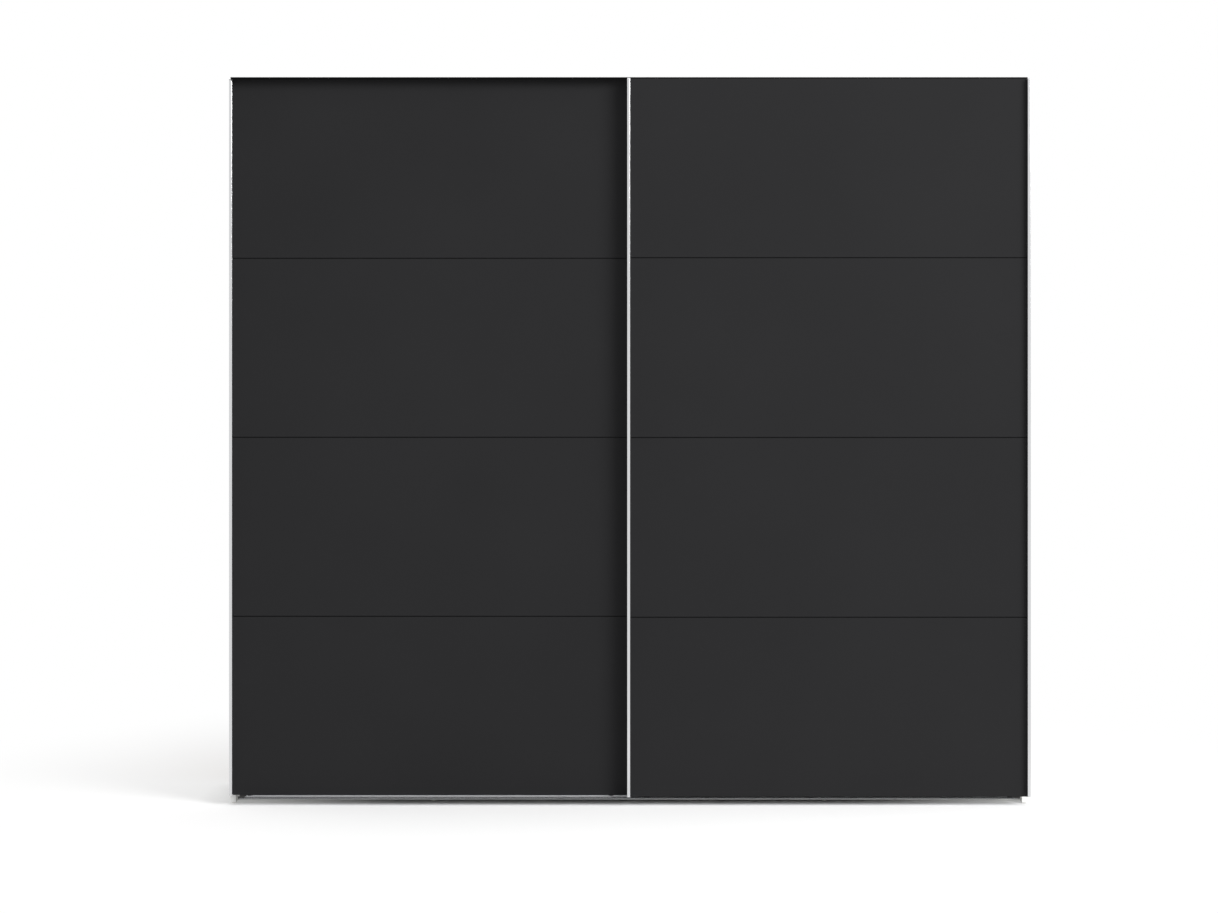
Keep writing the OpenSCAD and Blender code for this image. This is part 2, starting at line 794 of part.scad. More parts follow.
left_side_panel();
right_side_panel();
centre_partition();
top_panel();
bottom_panel();
front_plinth();
rear_plinth();
middle_plinth();
left_hat_shelf();
right_hat_shelf();
outer_left_back_panel();
inner_left_back_panel();
inner_right_back_panel();
outer_right_back_panel();
back_joining_strips();
back_panel_nails();
left_hanging_rail();
right_hanging_rail();
rail_end_supports();
fitting_screws();
shelf_pins();
cam_locks();
cam_bolts();
dowels();
floor_glides();
wall_brackets();
top_track();
bottom_track();
track_screws();
track_stops();
left_door_bottom_panel();
left_door_lower_panel();
left_door_upper_panel();
left_door_top_panel();
left_door_joining_strips();
left_door_left_handle();
left_door_right_handle();
left_door_end_caps();
left_door_guide_channel();
left_door_guide_shoes();
left_door_roller_housings();
left_door_axles();
left_door_roller_screws();
left_door_left_wheel();
left_door_right_wheel();
right_door_bottom_panel();
right_door_lower_panel();
right_door_upper_panel();
right_door_top_panel();
right_door_joining_strips();
right_door_left_handle();
right_door_right_handle();
right_door_end_caps();
right_door_guide_channel();
right_door_guide_shoes();
right_door_roller_housings();
right_door_axles();
right_door_roller_screws();
right_door_left_wheel();
right_door_right_wheel();
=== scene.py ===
"""Sliding door wardrobe: two black floating doors with aluminium handle profiles, in front of a
white carcass. The CAD part is the fixed frame; this script gives it its finishes, its turned
screws and cam locks, and the plain studio it stands in. Metres, +Z up, front towards -Y."""

import math

import bmesh
import bpy
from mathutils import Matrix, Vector


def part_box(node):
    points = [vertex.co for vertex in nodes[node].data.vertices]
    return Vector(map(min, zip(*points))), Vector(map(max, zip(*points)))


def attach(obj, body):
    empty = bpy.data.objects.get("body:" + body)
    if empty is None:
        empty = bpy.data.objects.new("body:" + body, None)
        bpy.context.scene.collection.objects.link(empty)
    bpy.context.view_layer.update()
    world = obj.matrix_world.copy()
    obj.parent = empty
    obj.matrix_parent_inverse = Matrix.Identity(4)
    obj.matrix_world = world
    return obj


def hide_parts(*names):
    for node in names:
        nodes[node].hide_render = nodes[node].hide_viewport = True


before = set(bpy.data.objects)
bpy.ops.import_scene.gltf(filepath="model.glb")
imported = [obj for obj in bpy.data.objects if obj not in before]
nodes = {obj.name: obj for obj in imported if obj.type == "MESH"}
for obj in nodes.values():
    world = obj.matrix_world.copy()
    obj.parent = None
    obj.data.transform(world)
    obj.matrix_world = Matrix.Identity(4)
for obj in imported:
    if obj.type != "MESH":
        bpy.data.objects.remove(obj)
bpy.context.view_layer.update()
scene = bpy.context.scene


# ---- Carcass boards: sides, partition, top, bottom, plinths and hat shelves ----
# 16 mm chipboard faced with white melamine paper, pressed against a finely pearled steel plate.
# The front edges carry a glued plastic band, smoother and a shade whiter than the faces.

melamine_pearl_mm = 1.6
melamine_cloud_mm = 260
board_edge = 0.0004


def colour(code):
    """An sRGB hex colour as the linear colour that shaders take."""
    parts = [int(code[i : i + 2], 16) / 255 for i in (1, 3, 5)]
    return [c / 12.92 if c <= 0.04045 else ((c + 0.055) / 1.055) ** 2.4 for c in parts] + [1]


def add(material, kind, sockets=(), **settings):
    """A shader node of that kind: sockets are values or links for its inputs."""
    node = material.node_tree.nodes.new("ShaderNode" + kind)
    for name, value in settings.items():
        setattr(node, name, value)
    for name, value in dict(sockets).items():
        if isinstance(value, bpy.types.NodeSocket):
            material.node_tree.links.new(value, node.inputs[name])
        else:
            node.inputs[name].default_value = value
    return node


def new_material(name):
    """An empty node material."""
    material = bpy.data.materials.new(name)
    material.use_nodes = True
    material.node_tree.nodes.clear()
    return material


def give(material, *names):
    """Puts a material on CAD nodes."""
    for name in names:
        if not nodes[name].material_slots:
            nodes[name].data.materials.append(material)
        for slot in nodes[name].material_slots:
            slot.material = material


def ease_edges(width, *names):
    """Rounds the sharp edges of CAD nodes by a width in metres, as a sanding block does."""
    for name in names:
        weld = nodes[name].modifiers.new("join the faces", "WELD")
        weld.merge_threshold = 1e-6
        bevel = nodes[name].modifiers.new("eased edges", "BEVEL")
        bevel.width = width
        bevel.segments = 2
        bevel.limit_method = "ANGLE"
        bevel.angle_limit = math.radians(50)
        shade = nodes[name].modifiers.new("even shading", "WEIGHTED_NORMAL")
        shade.weight = 90


# Melamine: a hard satin skin whose pearl breaks the highlights up, over a barely clouded white.
# The pearl is drawn coarser than the real 0.4 mm, which would be too fine to show.
melamine = new_material("white melamine board")
place = add(melamine, "TexCoord").outputs["Object"]
facing = add(melamine, "SeparateXYZ", {"Vector": add(melamine, "NewGeometry").outputs["Normal"]})
front_edge = add(melamine, "Math", {0: facing.outputs["Y"], 1: -0.9}, operation="LESS_THAN").outputs[0]
cloud = add(melamine, "TexNoise", {"Vector": place, "Scale": 1000 / melamine_cloud_mm, "Detail": 3})
pearl = add(melamine, "TexNoise", {"Vector": place, "Scale": 1000 / melamine_pearl_mm, "Detail": 2})
paper = add(melamine, "Mix", {0: cloud.outputs[0], 6: colour("#dbdbd8"), 7: colour("#e0e0dd")},
            data_type="RGBA")
white = add(melamine, "Mix", {0: front_edge, 6: paper.outputs[2], 7: colour("#e4e4e2")}, data_type="RGBA")
gloss = add(melamine, "MapRange", {"Value": pearl.outputs[0], "To Min": 0.38, "To Max": 0.5})
relief = add(melamine, "Bump", {"Height": pearl.outputs[0], "Strength": 0.12, "Distance": 0.0002})
surface = add(melamine, "BsdfPrincipled", {
    "Base Color": white.outputs[2], "Roughness": gloss.outputs[0], "Normal": relief.outputs[0], "IOR": 1.5})
add(melamine, "OutputMaterial", {"Surface": surface.outputs[0]})

carcass_boards = ["left_side_panel", "right_side_panel", "centre_partition", "top_panel", "bottom_panel",
                  "front_plinth", "rear_plinth", "middle_plinth", "left_hat_shelf", "right_hat_shelf"]
give(melamine, *carcass_boards)
ease_edges(board_edge, *carcass_boards)


# ---- Back: four sheets, their joining strips and the nails ----
# 3 mm hardboard, lacquered white on the inside and left raw outside, where the pressed wood
# fibres show as a mottled brown with darker flecks. Steel nails hold it.

fibre_mm = 3.0
fleck_mm = 9.0

# Hardboard: dull felted fibre outside, a thin half-gloss lacquer inside. The fibres are drawn
# coarser than the real 1 mm, so that they show.
hardboard = new_material("hardboard, white inside")
place = add(hardboard, "TexCoord").outputs["Object"]
facing = add(hardboard, "SeparateXYZ", {"Vector": add(hardboard, "NewGeometry").outputs["Normal"]})
inside = add(hardboard, "Math", {0: facing.outputs["Y"], 1: -0.5}, operation="LESS_THAN").outputs[0]
fibre = add(hardboard, "TexNoise", {
    "Vector": place, "Scale": 1000 / fibre_mm, "Detail": 5, "Roughness": 0.7})
fleck = add(hardboard, "TexNoise", {
    "Vector": place, "Scale": 1000 / fleck_mm, "Detail": 6, "Roughness": 0.75})
fleck_mask = add(hardboard, "MapRange", {"Value": fleck.outputs[0], "From Min": 0.56, "From Max": 0.72})
brown = add(hardboard, "Mix", {0: fibre.outputs[0], 6: colour("#8b6a49"), 7: colour("#b08d66")},
            data_type="RGBA")
raw = add(hardboard, "Mix", {0: fleck_mask.outputs[0], 6: brown.outputs[2], 7: colour("#6d5037")},
          data_type="RGBA")
sheet = add(hardboard, "Mix", {0: inside, 6: raw.outputs[2], 7: colour("#dededa")}, data_type="RGBA")
gloss = add(hardboard, "MapRange", {"Value": inside, "To Min": 0.75, "To Max": 0.45})
relief = add(hardboard, "Bump", {"Height": fibre.outputs[0], "Strength": 0.25, "Distance": 0.0003})
surface = add(hardboard, "BsdfPrincipled", {
    "Base Color": sheet.outputs[2], "Roughness": gloss.outputs[0], "Normal": relief.outputs[0]})
add(hardboard, "OutputMaterial", {"Surface": surface.outputs[0]})
give(hardboard, "outer_left_back_panel", "inner_left_back_panel",
     "inner_right_back_panel", "outer_right_back_panel")

# Nylon: the strips and the gliders under the boards are extruded and moulded in it, and its wax
# gives them a soft shine with slightly clouded patches.
nylon_cloud_mm = 6.0
strip_edge = 0.0002

nylon = new_material("white nylon")
place = add(nylon, "TexCoord").outputs["Object"]
cloud = add(nylon, "TexNoise", {"Vector": place, "Scale": 1000 / nylon_cloud_mm, "Detail": 3})
wax = add(nylon, "Mix", {0: cloud.outputs[0], 6: colour("#e2e1da"), 7: colour("#f0efe9")}, data_type="RGBA")
gloss = add(nylon, "MapRange", {"Value": cloud.outputs[0], "To Min": 0.36, "To Max": 0.48})
surface = add(nylon, "BsdfPrincipled", {
    "Base Color": wax.outputs[2], "Roughness": gloss.outputs[0], "IOR": 1.53})
add(nylon, "OutputMaterial", {"Surface": surface.outputs[0]})
give(nylon, "back_joining_strips", "floor_glides")
ease_edges(strip_edge, "back_joining_strips")

# Zinc-plated steel, for the nails, bolts and all other fixings: the plating's fine crystals
# mottle its grey shine. They are drawn coarser than the real 0.1 mm, so that they show.
zinc_crystal_mm = 0.9

zinc = new_material("zinc-plated steel")
place = add(zinc, "TexCoord").outputs["Object"]
crystal = add(zinc, "TexNoise", {"Vector": place, "Scale": 1000 / zinc_crystal_mm, "Detail": 3})
plating = add(zinc, "Mix", {0: crystal.outputs[0], 6: colour("#a9abae"), 7: colour("#c6c8ca")},
              data_type="RGBA")
gloss = add(zinc, "MapRange", {"Value": crystal.outputs[0], "To Min": 0.26, "To Max": 0.42})
surface = add(zinc, "BsdfPrincipled", {
    "Base Color": plating.outputs[2], "Roughness": gloss.outputs[0], "Metallic": 1})
add(zinc, "OutputMaterial", {"Surface": surface.outputs[0]})
give(zinc, "back_panel_nails", "cam_bolts")


# ---- Screws and cam locks ----
# Zinc-plated, with a cross recess for the driver. Each is turned here with its head and rings
# of thread, in the place and at the size of its plain CAD solid.

ring_steps = 24
thread_pitch = 0.0016
thread_depth = 0.0004
thread_start = 0.002
tip_height = 0.0012
domed_head = 0.0016
flat_head = 0.0015


def solids(name):
    """The separate solids of a CAD node, each as a list of its points."""
    mesh = bmesh.new()
    mesh.from_mesh(nodes[name].data)
    bmesh.ops.remove_doubles(mesh, verts=mesh.verts, dist=1e-6)
    found, seen = [], set()
    for start in mesh.verts:
        if start in seen:
            continue
        seen.add(start)
        group, edge = [start], [start]
        while edge:
            near = [e.other_vert(v) for v in edge for e in v.link_edges]
            edge = list(dict.fromkeys(v for v in near if v not in seen))
            seen.update(edge)
            group += edge
        found.append([v.co.copy() for v in group])
    mesh.free()
    return found


def extent(points):
    """The lowest and highest corner of some points."""
    low = Vector([min(p[k] for p in points) for k in range(3)])
    high = Vector([max(p[k] for p in points) for k in range(3)])
    return low, high


def turn(mesh, foot, axis, rings, cross=None):
    """Adds a turned piece whose rings are (radius, height above the foot along the axis).
    cross is the reach, half width and depth of a recess in the last ring."""
    across = axis.orthogonal().normalized()
    up = axis.cross(across)
    angles = [2 * math.pi * i / ring_steps for i in range(ring_steps)]

    def ring(reach, height):
        return [mesh.verts.new(foot + axis * height + (across * math.cos(a) + up * math.sin(a)) * reach(a))
                for a in angles]

    loops = [ring(lambda a, r=radius: r, height) for radius, height in rings]
    if cross:
        reach, half_width, depth = cross

        def star(a):
            off = abs((a + math.pi / 4) % (math.pi / 2) - math.pi / 4)
            return min(reach / math.cos(off), half_width / max(math.sin(off), 1e-6))

        height = rings[-1][1]
        loops.append(ring(star, height))
        loops.append(ring(lambda a: star(a) * 0.6, height - depth))
    for low, high in zip(loops, loops[1:]):
        for i in range(ring_steps):
            j = (i + 1) % ring_steps
            mesh.faces.new((low[i], low[j], high[j], high[i]))
    mesh.faces.new(reversed(loops[0]))
    mesh.faces.new(loops[-1])


def finish_piece(mesh, name, material, slot, body, *replaced):
    """Makes a bmesh into a piece that stands for CAD nodes and rides on their body."""
    bmesh.ops.recalc_face_normals(mesh, faces=mesh.faces)
    data = bpy.data.meshes.new(name)
    mesh.to_mesh(data)
    mesh.free()
    data.materials.append(material)
    data.shade_smooth()
    data.set_sharp_from_angle(angle=math.radians(35))
    piece = bpy.data.objects.new(name, data)
    scene.collection.objects.link(piece)
    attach(piece, body)
    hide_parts(*replaced)


def turned_screws(name, body, domed):
    """Screws in the place of a node's plain ones, with domed or countersunk heads."""
    mesh = bmesh.new()
    for points in solids(name):
        low, high = extent(points)
        size = high - low
        along = max(range(3), key=lambda k: size[k])
        axis = Vector([float(k == along) for k in range(3)])
        middle = (low + high) / 2
        reach = size[along] / 2
        spread = [max(((p - middle) - axis * (p - middle).dot(axis)).length for p in points
                      if abs((p - middle).dot(axis) - side * reach) < 1e-5) for side in (-1, 1)]
        if spread[0] > spread[1]:
            axis = -axis
        tip = middle - axis * reach
        length = 2 * reach
        head_r = max(spread)
        shank_r = min(spread)
        head_h = domed_head if domed else flat_head
        neck = length - head_h
        rings = [(shank_r * 0.15, 0), (shank_r * 0.6, tip_height)]
        for i in range(int((neck - 0.003) / thread_pitch)):
            rings.append((shank_r, thread_start + i * thread_pitch))
            rings.append((shank_r - thread_depth, thread_start + (i + 0.5) * thread_pitch))
        rings.append((shank_r, neck))
        if domed:
            rings += [(head_r, neck), (head_r, neck + head_h * 0.35), (head_r * 0.9, neck + head_h * 0.75),
                      (head_r * 0.7, length)]
        else:
            rings += [(head_r * 0.98, length - 0.0001), (head_r * 0.94, length)]
        turn(mesh, tip, axis, rings, cross=(head_r * 0.56, head_r * 0.15, head_h * 0.75))
    finish_piece(mesh, name.replace("screws", "cross_screws"), zinc, "steel", body, name)


turned_screws("fitting_screws", "carcass", domed=False)
turned_screws("track_screws", "carcass", domed=True)
for door in ("left_door", "right_door"):
    turned_screws(door + "_roller_screws", door, domed=False)

# Cam locks: die-cast drums with a rolled rim, a sunk face and a cross slot.
cam_rim = 0.0006
cam_slot = 0.003
mesh = bmesh.new()
for points in solids("cam_locks"):
    low, high = extent(points)
    size = high - low
    along = min(range(3), key=lambda k: size[k])
    axis = Vector([-float(k == along) for k in range(3)])
    radius = max(size) / 2
    depth = size[along]
    foot = (low + high) / 2 - axis * depth / 2
    rings = [(radius - cam_rim, 0), (radius, cam_rim), (radius, depth - cam_rim), (radius - cam_rim, depth),
             (radius * 0.86, depth), (radius * 0.82, depth - cam_rim), (radius * 0.6, depth - cam_rim)]
    turn(mesh, foot, axis, rings, cross=(radius * 0.45, radius * 0.13, cam_slot))
finish_piece(mesh, "cross_slotted_cam_locks", zinc, "steel", "carcass", "cam_locks")


# ---- Shelf pins, dowels and wall brackets ----
# Turned steel pins hold the shelves and pressed steel angles tie the carcass to the wall. The
# dowels between the boards are turned beech, glued into one board and pushed into the other.

bracket_edge = 0.0002

give(zinc, "shelf_pins", "wall_brackets")
ease_edges(bracket_edge, "wall_brackets")

# Beech: short pale and darker grain along the dowel.
grain_mm = 0.8
grain_stretch = 0.08

beech = new_material("beech")
place = add(beech, "Mapping", {
    "Vector": add(beech, "TexCoord").outputs["Object"], "Scale": (grain_stretch, 1, 1)})
grain = add(beech, "TexNoise", {"Vector": place.outputs[0], "Scale": 1000 / grain_mm, "Detail": 4})
wood = add(beech, "Mix", {0: grain.outputs[0], 6: colour("#b98a58"), 7: colour("#dcb585")}, data_type="RGBA")
surface = add(beech, "BsdfPrincipled", {"Base Color": wood.outputs[2], "Roughness": 0.6})
add(beech, "OutputMaterial", {"Surface": surface.outputs[0]})
give(beech, "dowels")


# ---- Hanging rails and their end supports ----
# Oval steel tube, chromed; hairline polishing marks run along it. The cups are die-cast zinc
# with the same chrome plating.

polish_mm = 0.5
polish_stretch = 0.01

# Chrome: a near mirror, drawn out a little along the tube by the polishing marks, which are
# drawn coarser than real so that they show.
chrome = new_material("chrome plating")
place = add(chrome, "Mapping", {
    "Vector": add(chrome, "TexCoord").outputs["Object"], "Scale": (polish_stretch, 1, 1)})
line = add(chrome, "TexNoise", {"Vector": place.outputs[0], "Scale": 1000 / polish_mm, "Detail": 2})
plating = add(chrome, "Mix", {0: line.outputs[0], 6: colour("#d3d5d7"), 7: colour("#e4e5e6")},
              data_type="RGBA")
gloss = add(chrome, "MapRange", {"Value": line.outputs[0], "To Min": 0.05, "To Max": 0.14})
surface = add(chrome, "BsdfPrincipled", {
    "Base Color": plating.outputs[2], "Roughness": gloss.outputs[0], "Metallic": 1})
add(chrome, "OutputMaterial", {"Surface": surface.outputs[0]})
give(chrome, "left_hanging_rail", "right_hanging_rail", "rail_end_supports")


# ---- Tracks and stops ----
# Extruded aluminium. The bottom track is satin anodised in its natural colour, with faint die
# lines along it; its faces that look out under the doors are drawn near black, painted shade for
# the shadowed gap under the doors. The top track is drawn near black all over, painted shade for
# the gap above the doors. Rubber stops sit on the ribs.

die_line_mm = 0.7
die_line_stretch = 0.004
painted_shade_depth_mm = 10
track_edge = 0.0003

# Etched and anodised aluminium: a pale, broad sheen without clear reflections. The die lines
# are drawn coarser than the real 0.2 mm, so that they show.
track_metal = new_material("satin anodised aluminium, drawn along the track")
place = add(track_metal, "Mapping", {
    "Vector": add(track_metal, "TexCoord").outputs["Object"], "Scale": (die_line_stretch, 1, 1)})
line = add(track_metal, "TexNoise", {"Vector": place.outputs[0], "Scale": 1000 / die_line_mm, "Detail": 3})
metal = add(track_metal, "Mix", {0: line.outputs[0], 6: colour("#dadcde"), 7: colour("#e8e9ea")},
            data_type="RGBA")
gloss = add(track_metal, "MapRange", {"Value": line.outputs[0], "To Min": 0.52, "To Max": 0.66})
relief = add(track_metal, "Bump", {"Height": line.outputs[0], "Strength": 0.1, "Distance": 0.0001})
bare = add(track_metal, "BsdfPrincipled", {
    "Base Color": metal.outputs[2], "Roughness": gloss.outputs[0], "Metallic": 1,
    "Normal": relief.outputs[0]})
# Painted shade: near black, with little shine, for the shadowed gap under the doors.
gap_shade_paint = add(track_metal, "BsdfPrincipled", {
    "Base Color": colour("#0b0b0c"), "Roughness": gloss.outputs[0], "Specular IOR Level": 0.1})
# The painted shade covers the side-on faces within that depth of the track's front.
front_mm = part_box("bottom_track")[0].y * 1000 + painted_shade_depth_mm
depth = add(track_metal, "SeparateXYZ", {"Vector": add(track_metal, "TexCoord").outputs["Object"]})
near = add(track_metal, "Math", {0: depth.outputs["Y"], 1: front_mm / 1000}, operation="LESS_THAN")
facing = add(track_metal, "SeparateXYZ", {"Vector": add(track_metal, "NewGeometry").outputs["Normal"]})
side_on = add(track_metal, "Math", {0: facing.outputs["Z"], 1: 0.5}, operation="LESS_THAN")
painted_shade_mask = add(track_metal, "Math", {0: near.outputs[0], 1: side_on.outputs[0]}, operation="MULTIPLY")
surface = add(track_metal, "MixShader", {0: painted_shade_mask.outputs[0], 1: bare.outputs[0], 2: gap_shade_paint.outputs[0]})
add(track_metal, "OutputMaterial", {"Surface": surface.outputs[0]})
give(track_metal, "bottom_track")
ease_edges(track_edge, "bottom_track")

# Painted shade: drawn near black and hardly shining, it stands for the shadowed gap above the doors.
gap_shade_black = new_material("near-black aluminium, painted gap shade")
place = add(gap_shade_black, "Mapping", {
    "Vector": add(gap_shade_black, "TexCoord").outputs["Object"], "Scale": (die_line_stretch, 1, 1)})
line = add(gap_shade_black, "TexNoise", {"Vector": place.outputs[0], "Scale": 1000 / die_line_mm, "Detail": 3})
metal = add(gap_shade_black, "Mix", {0: line.outputs[0], 6: colour("#050506"), 7: colour("#0a0a0b")},
            data_type="RGBA")
gloss = add(gap_shade_black, "MapRange", {"Value": line.outputs[0], "To Min": 0.4, "To Max": 0.52})
surface = add(gap_shade_black, "BsdfPrincipled", {
    "Base Color": metal.outputs[2], "Roughness": gloss.outputs[0], "Specular IOR Level": 0.06})
add(gap_shade_black, "OutputMaterial", {"Surface": surface.outputs[0]})
give(gap_shade_black, "top_track")
ease_edges(track_edge, "top_track")

# Rubber: dull and slightly grained, with worn corners.
rubber_grain_mm = 0.6
rubber_edge = 0.0006

rubber = new_material("black rubber")
place = add(rubber, "TexCoord").outputs["Object"]
grain = add(rubber, "TexNoise", {"Vector": place, "Scale": 1000 / rubber_grain_mm, "Detail": 2})
bloom = add(rubber, "Mix", {0: grain.outputs[0], 6: colour("#151515"), 7: colour("#262625")},
            data_type="RGBA")
relief = add(rubber, "Bump", {"Height": grain.outputs[0], "Strength": 0.3, "Distance": 0.0002})
surface = add(rubber, "BsdfPrincipled", {
    "Base Color": bloom.outputs[2], "Roughness": 0.8, "Normal": relief.outputs[0]})
add(rubber, "OutputMaterial", {"Surface": surface.outputs[0]})
give(rubber, "track_stops")
ease_edges(rubber_edge, "track_stops")


# ---- Door boards ----
# 16 mm board wrapped in an ultra-matt black foil. The foil's fine leathery grain breaks up its
# sheen, and the wrapped edges are slightly rounded.

foil_grain_mm = 1.4
foil_cloud_mm = 420
wrapped_edge = 0.0007

# Foil: a dry charcoal black that takes light evenly and shows no reflections. Its grain is
# drawn coarser than the real 0.3 mm, so that it shows.
foil = new_material("matt black foil")
place = add(foil, "TexCoord").outputs["Object"]
grain = add(foil, "TexNoise", {"Vector": place, "Scale": 1000 / foil_grain_mm, "Detail": 3})
cloud = add(foil, "TexNoise", {"Vector": place, "Scale": 1000 / foil_cloud_mm, "Detail": 3})
black = add(foil, "Mix", {0: cloud.outputs[0], 6: colour("#212122"), 7: colour("#252526")}, data_type="RGBA")
gloss = add(foil, "MapRange", {"Value": grain.outputs[0], "To Min": 0.5, "To Max": 0.62})
relief = add(foil, "Bump", {"Height": grain.outputs[0], "Strength": 0.15, "Distance": 0.0002})
surface = add(foil, "BsdfPrincipled", {
    "Base Color": black.outputs[2], "Roughness": gloss.outputs[0], "Normal": relief.outputs[0],
    "IOR": 1.46, "Specular IOR Level": 0.06})
add(foil, "OutputMaterial", {"Surface": surface.outputs[0]})

door_boards = [f"{side}_door_{level}_panel" for side in ("left", "right")
               for level in ("bottom", "lower", "upper", "top")]
give(foil, *door_boards)
ease_edges(wrapped_edge, *door_boards)


# ---- Joining strips and guide channels of the doors ----
# Extruded black plastic with the soft speckled shine of an eroded tool. The strips fill the
# grooves between the boards, so their black is kept as dark as the shadowed gap, as painted shade.

spark_mm = 0.7
channel_edge = 0.0003

# ABS: near black with a low, speckled sheen, also used for the wheels. The speckle is drawn
# coarser than the real 0.1 mm, so that it shows.
black_plastic = new_material("black ABS")
place = add(black_plastic, "TexCoord").outputs["Object"]
spark = add(black_plastic, "TexNoise", {"Vector": place, "Scale": 1000 / spark_mm, "Detail": 2})
# Near black: the wheels' own colour, and painted shade where the strips fill the door grooves.
black_and_groove_shade = add(black_plastic, "Mix", {0: spark.outputs[0], 6: colour("#0a0a0b"), 7: colour("#101011")},
                data_type="RGBA")
gloss = add(black_plastic, "MapRange", {"Value": spark.outputs[0], "To Min": 0.45, "To Max": 0.6})
relief = add(black_plastic, "Bump", {"Height": spark.outputs[0], "Strength": 0.15, "Distance": 0.0001})
surface = add(black_plastic, "BsdfPrincipled", {
    "Base Color": black_and_groove_shade.outputs[2], "Roughness": gloss.outputs[0], "Normal": relief.outputs[0],
    "Specular IOR Level": 0.12})
add(black_plastic, "OutputMaterial", {"Surface": surface.outputs[0]})
for door in ("left_door", "right_door"):
    give(black_plastic, door + "_joining_strips", door + "_guide_channel")
    ease_edges(channel_edge, door + "_guide_channel")


# ---- Handle profiles and their end caps ----
# Extruded aluminium boxes, brushed along their length and anodised clear. The brushing draws
# the reflections out into soft vertical streaks. Pale grey plastic caps close their ends.

brush_mm = 0.6
brush_stretch = 0.003

# Brushed aluminium: bright, with fine upright streaks, drawn coarser than the real 0.1 mm so
# that they show.
handle_metal = new_material("brushed anodised aluminium")
place = add(handle_metal, "Mapping", {
    "Vector": add(handle_metal, "TexCoord").outputs["Object"], "Scale": (1, 1, brush_stretch)})
streak = add(handle_metal, "TexNoise", {"Vector": place.outputs[0], "Scale": 1000 / brush_mm, "Detail": 4})
metal = add(handle_metal, "Mix", {0: streak.outputs[0], 6: colour("#cbccce"), 7: colour("#dadadb")},
            data_type="RGBA")
gloss = add(handle_metal, "MapRange", {"Value": streak.outputs[0], "To Min": 0.12, "To Max": 0.2})
relief = add(handle_metal, "Bump", {"Height": streak.outputs[0], "Strength": 0.1, "Distance": 0.0001})
surface = add(handle_metal, "BsdfPrincipled", {
    "Base Color": metal.outputs[2], "Roughness": gloss.outputs[0], "Metallic": 1,
    "Normal": relief.outputs[0]})
add(handle_metal, "OutputMaterial", {"Surface": surface.outputs[0]})
for door in ("left_door", "right_door"):
    give(handle_metal, door + "_left_handle", door + "_right_handle")

# Grey ABS for the caps: satin, with the fine speckle of its mould, again drawn coarser.
mould_mm = 0.9
cap_edge = 0.0003

grey_plastic = new_material("pale grey ABS")
place = add(grey_plastic, "TexCoord").outputs["Object"]
spark = add(grey_plastic, "TexNoise", {"Vector": place, "Scale": 1000 / mould_mm, "Detail": 2})
grey = add(grey_plastic, "Mix", {0: spark.outputs[0], 6: colour("#b9babb"), 7: colour("#c6c7c8")},
           data_type="RGBA")
gloss = add(grey_plastic, "MapRange", {"Value": spark.outputs[0], "To Min": 0.4, "To Max": 0.55})
surface = add(grey_plastic, "BsdfPrincipled", {"Base Color": grey.outputs[2], "Roughness": gloss.outputs[0]})
add(grey_plastic, "OutputMaterial", {"Surface": surface.outputs[0]})
for door in ("left_door", "right_door"):
    give(grey_plastic, door + "_end_caps")
    ease_edges(cap_edge, door + "_end_caps")


# ---- Rollers: housings, axles, wheels and the guide shoes at the top ----
# Housings and axles are zinc-plated steel. The wheels are moulded in black plastic and the
# shoes in white nylon, which both run quietly on the metal.

shoe_edge = 0.0002

for door in ("left_door", "right_door"):
    give(zinc, door + "_roller_housings", door + "_axles")
    give(black_plastic, door + "_left_wheel", door + "_right_wheel")
    give(nylon, door + "_guide_shoes")
    ease_edges(shoe_edge, door + "_guide_shoes")


# ---- Floor ----
# A plain pale studio floor, painted matt, with the faintest roller texture. It glows with painted
# light except over the wardrobe's footprint, which is left dark as a painted shadow, and runs out
# into the white of the room in a white glow, painted light that also pales the lamp's shadow.

floor_reach = 60
roller_mm = 30
painted_glow = 0.22
painted_shadow_half = (1.2, 0.2, 1)
painted_shadow_edge = 0.12
fade_shape = (1.4, 0.9, 1)
fade_start, fade_end = 0.9, 3.4

# Floor paint: flat white, dulled further by the roller's nap.
paint = new_material("matt white floor paint")
place = add(paint, "TexCoord").outputs["Object"]
nap = add(paint, "TexNoise", {"Vector": place, "Scale": 1000 / roller_mm, "Detail": 2})
coat = add(paint, "Mix", {0: nap.outputs[0], 6: colour("#f6f6f6"), 7: colour("#f9f9f9")}, data_type="RGBA")
# Painted shadow: the glow is cut off over the wardrobe's footprint and eases in across its edge.
across = add(paint, "VectorMath", {0: place}, operation="ABSOLUTE")
beyond = add(paint, "VectorMath", {0: across.outputs[0], 1: painted_shadow_half}, operation="SUBTRACT")
outside = add(paint, "VectorMath", {0: beyond.outputs[0], 1: (0, 0, 0)}, operation="MAXIMUM")
clear = add(paint, "VectorMath", {0: outside.outputs[0]}, operation="LENGTH")
painted_glow_strength = add(paint, "MapRange", {
    "Value": clear.outputs["Value"], "From Max": painted_shadow_edge, "To Max": painted_glow})
painted = add(paint, "BsdfPrincipled", {
    "Base Color": coat.outputs[2], "Roughness": 0.9, "Specular IOR Level": 0.1,
    "Emission Color": colour("#ffffff"), "Emission Strength": painted_glow_strength.outputs[0]})
# Painted light: further out the floor turns into a pure white glow, in an oval that pales the lamp's shadow
# beside the wardrobe.
glow = add(paint, "Emission", {"Color": colour("#ffffff"), "Strength": 1})
pool = add(paint, "VectorMath", {0: place, 1: fade_shape}, operation="MULTIPLY")
away = add(paint, "VectorMath", {0: pool.outputs[0]}, operation="LENGTH")
fade = add(paint, "MapRange", {
    "Value": away.outputs["Value"], "From Min": fade_start, "From Max": fade_end},
    interpolation_type="SMOOTHSTEP")
surface = add(paint, "MixShader", {0: fade.outputs[0], 1: painted.outputs[0], 2: glow.outputs[0]})
add(paint, "OutputMaterial", {"Surface": surface.outputs[0]})

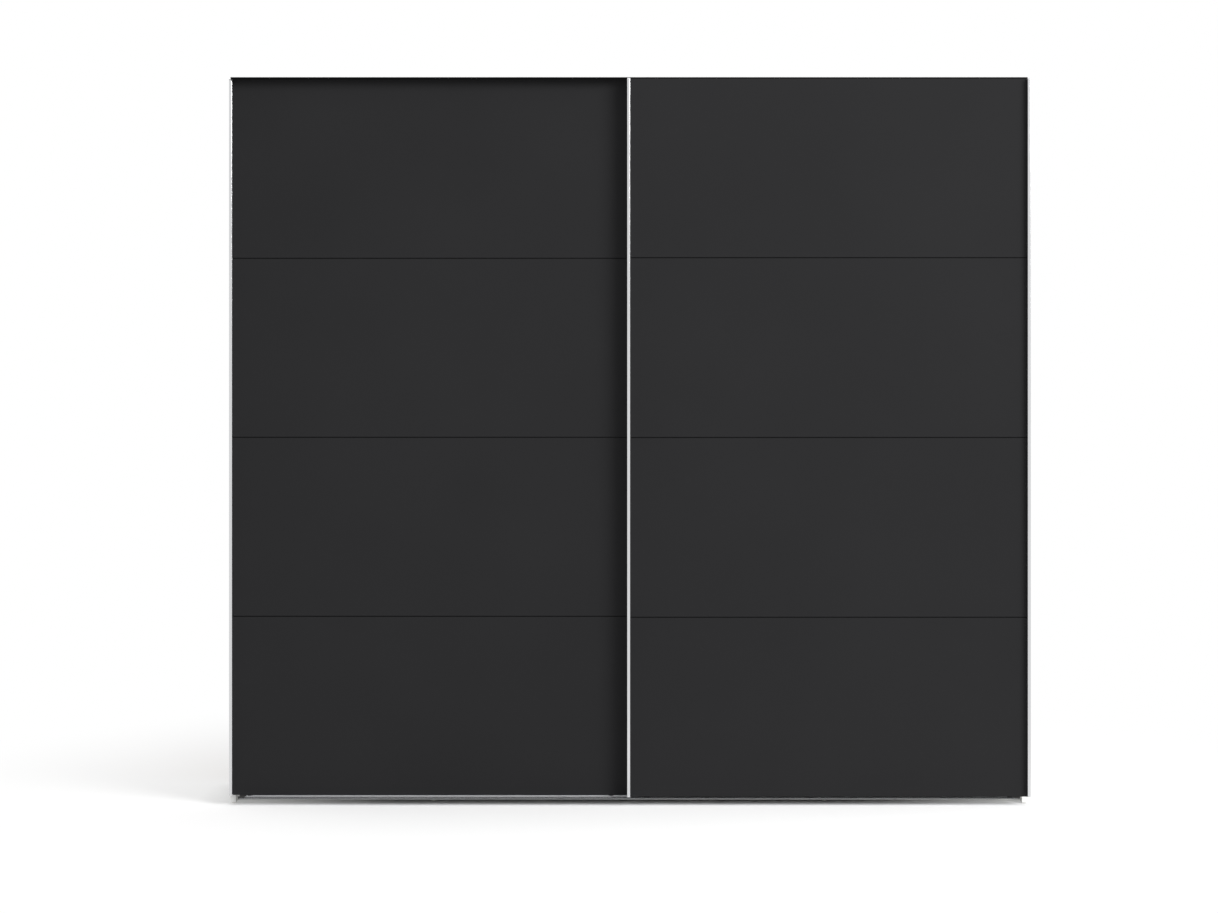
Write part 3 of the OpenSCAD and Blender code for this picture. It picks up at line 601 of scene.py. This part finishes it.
mesh = bmesh.new()
bmesh.ops.create_grid(mesh, x_segments=1, y_segments=1, size=floor_reach)
data = bpy.data.meshes.new("studio_floor")
mesh.to_mesh(data)
mesh.free()
data.materials.append(paint)
floor = bpy.data.objects.new("studio_floor", data)
scene.collection.objects.link(floor)


# ---- Light ----
# A white room lights everything evenly, and a large soft lamp on the right in front gives the
# handles their soft shadows to the left. What the camera and the polished metal see is a full
# white; what lights the matt faces is less, so that the white boards keep their tone.

room_light = 0.58
room_white = 1.0
lamp_width = 5
lamp_power = 780
lamp_place = (5.4, -6.6, 4.8)
lamp_aim = (0, -0.3, 1.2)

world = bpy.data.worlds.new("white room")
scene.world = world
world.use_nodes = True
world.node_tree.nodes.clear()
diffuse = add(world, "LightPath").outputs["Is Diffuse Ray"]
seen = add(world, "Background", {"Color": colour("#ffffff"), "Strength": room_white})
around = add(world, "Background", {"Color": colour("#ffffff"), "Strength": room_light})
both = add(world, "MixShader", {0: diffuse, 1: seen.outputs[0], 2: around.outputs[0]})
add(world, "OutputWorld", {"Surface": both.outputs[0]})

lamp = bpy.data.lights.new("key lamp", "AREA")
lamp.shape = "DISK"
lamp.size = lamp_width
lamp.energy = lamp_power
key = bpy.data.objects.new("key_lamp", lamp)
key.location = lamp_place
key.rotation_euler = (Vector(lamp_aim) - key.location).to_track_quat("-Z", "Y").to_euler()
scene.collection.objects.link(key)

scene.view_settings.view_transform = "Standard"


# ---- Camera ----
# Level, ten metres in front of the carcass, so that uprights stay upright; the lens is shifted
# to bring the wardrobe into the picture.

picture_width = 3.7
stand_off = 10.1
eye_height = 1.239
eye_right = -0.0605
lens_rise = -0.05
carcass_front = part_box("left_side_panel")[0].y

lens = bpy.data.cameras.new("camera")
lens.lens = lens.sensor_width * stand_off / picture_width
lens.shift_y = lens_rise
camera = bpy.data.objects.new("camera", lens)
camera.location = (eye_right, carcass_front - stand_off, eye_height)
camera.rotation_euler = (math.radians(90), 0, 0)
scene.collection.objects.link(camera)
scene.camera = camera
